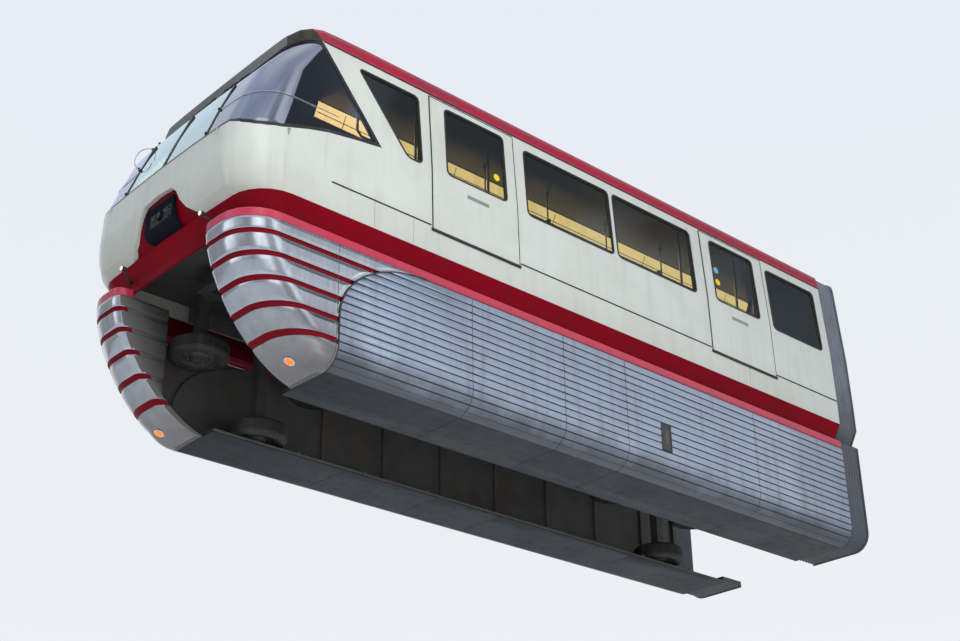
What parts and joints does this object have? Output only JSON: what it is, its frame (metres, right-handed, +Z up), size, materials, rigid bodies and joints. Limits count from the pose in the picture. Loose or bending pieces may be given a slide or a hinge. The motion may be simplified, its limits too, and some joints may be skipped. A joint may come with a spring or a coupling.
{
  "type": "straddle-beam monorail car",
  "caption": "Lead car of a straddle-beam monorail train: sloped glass nose, side doors, ribbed skirts hanging beside the beam, gangway bellows behind.",
  "frame": {"origin": "on the beam's running surface, on its centre line, midway between the two bogies", "axes": "+X forward to the nose, +Y to the car's left side, +Z up"},
  "size_m": [9.9193, 3.136, 4.14],
  "materials": {
    "cream_paint": "satin",
    "dark_red_paint": "satin",
    "bright_red_paint": "gloss",
    "ribbed_aluminium": "satin",
    "polished_aluminium": "polished",
    "bellows_rubber": "matte",
    "tyre_rubber": "matte",
    "dark_trim": "matte",
    "bogie_steel": "matte",
    "window_glass": "gloss",
    "seat_vinyl": "satin"
  },
  "bodies": {
    "car_body": {"bench_front": "seat_vinyl", "bench_middle_front": "seat_vinyl", "bench_middle_rear": "seat_vinyl", "bench_rear": "seat_vinyl", "bow_fairing_left": "polished_aluminium", "bow_fairing_right": "polished_aluminium", "cab_side_glass_left": "window_glass", "cab_side_glass_right": "window_glass", "coupler_housing": "dark_trim", "driver_console": "dark_trim", "driver_seat": "dark_trim", "front_door_glass_left": "window_glass", "front_door_glass_right": "window_glass", "front_door_left": "cream_paint", "front_door_right": "cream_paint", "gangway_bellows": "bellows_rubber", "middle_window_left": "window_glass", "middle_window_right": "window_glass", "nose_shell": "cream_paint", "quarter_window_left": "window_glass", "quarter_window_right": "window_glass", "rear_bulkhead": "cream_paint", "rear_door_glass_left": "window_glass", "rear_door_glass_right": "window_glass", "rear_door_left": "cream_paint", "rear_door_right": "cream_paint", "rear_window_left": "window_glass", "rear_window_right": "window_glass", "roof": "cream_paint", "side_wall_left": "cream_paint", "side_wall_right": "cream_paint", "skirt_cap_left": "bright_red_paint", "skirt_cap_right": "bright_red_paint", "skirt_left": "ribbed_aluminium", "skirt_right": "ribbed_aluminium", "underframe": "dark_trim", "waist_valance": "dark_red_paint", "wheel_well_front": "dark_trim", "wheel_well_rear": "dark_trim", "windscreen_frame": "dark_trim", "windscreen_left": "window_glass", "windscreen_right": "window_glass"},
    "bogie_front": {"bogie_frame_front": "bogie_steel", "traction_motor_front": "bogie_steel"},
    "wheelset_front": {"load_wheels_front": "tyre_rubber"},
    "guide_wheel_front_upper_front_left": {"guide_wheel_front_upper_front_left": "tyre_rubber"},
    "guide_wheel_front_upper_front_right": {"guide_wheel_front_upper_front_right": "tyre_rubber"},
    "guide_wheel_front_upper_rear_left": {"guide_wheel_front_upper_rear_left": "tyre_rubber"},
    "guide_wheel_front_upper_rear_right": {"guide_wheel_front_upper_rear_right": "tyre_rubber"},
    "guide_wheel_front_lower_left": {"guide_wheel_front_lower_left": "tyre_rubber"},
    "guide_wheel_front_lower_right": {"guide_wheel_front_lower_right": "tyre_rubber"},
    "bogie_rear": {"bogie_frame_rear": "bogie_steel", "traction_motor_rear": "bogie_steel"},
    "wheelset_rear": {"load_wheels_rear": "tyre_rubber"},
    "guide_wheel_rear_upper_front_left": {"guide_wheel_rear_upper_front_left": "tyre_rubber"},
    "guide_wheel_rear_upper_front_right": {"guide_wheel_rear_upper_front_right": "tyre_rubber"},
    "guide_wheel_rear_upper_rear_left": {"guide_wheel_rear_upper_rear_left": "tyre_rubber"},
    "guide_wheel_rear_upper_rear_right": {"guide_wheel_rear_upper_rear_right": "tyre_rubber"},
    "guide_wheel_rear_lower_left": {"guide_wheel_rear_lower_left": "tyre_rubber"},
    "guide_wheel_rear_lower_right": {"guide_wheel_rear_lower_right": "tyre_rubber"}
  },
  "joints": [
    {"name": "bogie_yaw_front", "type": "hinge", "parent": "car_body", "child": "bogie_front", "pos_m": [3.25, 0, 0], "axis": [0, 0, 1], "range_deg": [-3, 3]},
    {"name": "load_wheels_turn_front", "type": "hinge", "parent": "bogie_front", "child": "wheelset_front", "pos_m": [3.25, 0, 0.5], "axis": [0, 1, 0], "continuous": true},
    {"name": "turn_front_upper_front_left", "type": "hinge", "parent": "bogie_front", "child": "guide_wheel_front_upper_front_left", "pos_m": [4.05, 0.79, -0.35], "axis": [0, 0, 1], "continuous": true},
    {"name": "turn_front_upper_front_right", "type": "hinge", "parent": "bogie_front", "child": "guide_wheel_front_upper_front_right", "pos_m": [4.05, -0.79, -0.35], "axis": [0, 0, 1], "continuous": true},
    {"name": "turn_front_upper_rear_left", "type": "hinge", "parent": "bogie_front", "child": "guide_wheel_front_upper_rear_left", "pos_m": [2.45, 0.79, -0.35], "axis": [0, 0, 1], "continuous": true},
    {"name": "turn_front_upper_rear_right", "type": "hinge", "parent": "bogie_front", "child": "guide_wheel_front_upper_rear_right", "pos_m": [2.45, -0.79, -0.35], "axis": [0, 0, 1], "continuous": true},
    {"name": "turn_front_lower_left", "type": "hinge", "parent": "bogie_front", "child": "guide_wheel_front_lower_left", "pos_m": [3.25, 0.79, -1.1], "axis": [0, 0, 1], "continuous": true},
    {"name": "turn_front_lower_right", "type": "hinge", "parent": "bogie_front", "child": "guide_wheel_front_lower_right", "pos_m": [3.25, -0.79, -1.1], "axis": [0, 0, 1], "continuous": true},
    {"name": "bogie_yaw_rear", "type": "hinge", "parent": "car_body", "child": "bogie_rear", "pos_m": [-3.25, 0, 0], "axis": [0, 0, 1], "range_deg": [-3, 3]},
    {"name": "load_wheels_turn_rear", "type": "hinge", "parent": "bogie_rear", "child": "wheelset_rear", "pos_m": [-3.25, 0, 0.5], "axis": [0, 1, 0], "continuous": true},
    {"name": "turn_rear_upper_front_left", "type": "hinge", "parent": "bogie_rear", "child": "guide_wheel_rear_upper_front_left", "pos_m": [-2.45, 0.79, -0.35], "axis": [0, 0, 1], "continuous": true},
    {"name": "turn_rear_upper_front_right", "type": "hinge", "parent": "bogie_rear", "child": "guide_wheel_rear_upper_front_right", "pos_m": [-2.45, -0.79, -0.35], "axis": [0, 0, 1], "continuous": true},
    {"name": "turn_rear_upper_rear_left", "type": "hinge", "parent": "bogie_rear", "child": "guide_wheel_rear_upper_rear_left", "pos_m": [-4.05, 0.79, -0.35], "axis": [0, 0, 1], "continuous": true},
    {"name": "turn_rear_upper_rear_right", "type": "hinge", "parent": "bogie_rear", "child": "guide_wheel_rear_upper_rear_right", "pos_m": [-4.05, -0.79, -0.35], "axis": [0, 0, 1], "continuous": true},
    {"name": "turn_rear_lower_left", "type": "hinge", "parent": "bogie_rear", "child": "guide_wheel_rear_lower_left", "pos_m": [-3.25, 0.79, -1.1], "axis": [0, 0, 1], "continuous": true},
    {"name": "turn_rear_lower_right", "type": "hinge", "parent": "bogie_rear", "child": "guide_wheel_rear_lower_right", "pos_m": [-3.25, -0.79, -1.1], "axis": [0, 0, 1], "continuous": true}
  ]
}
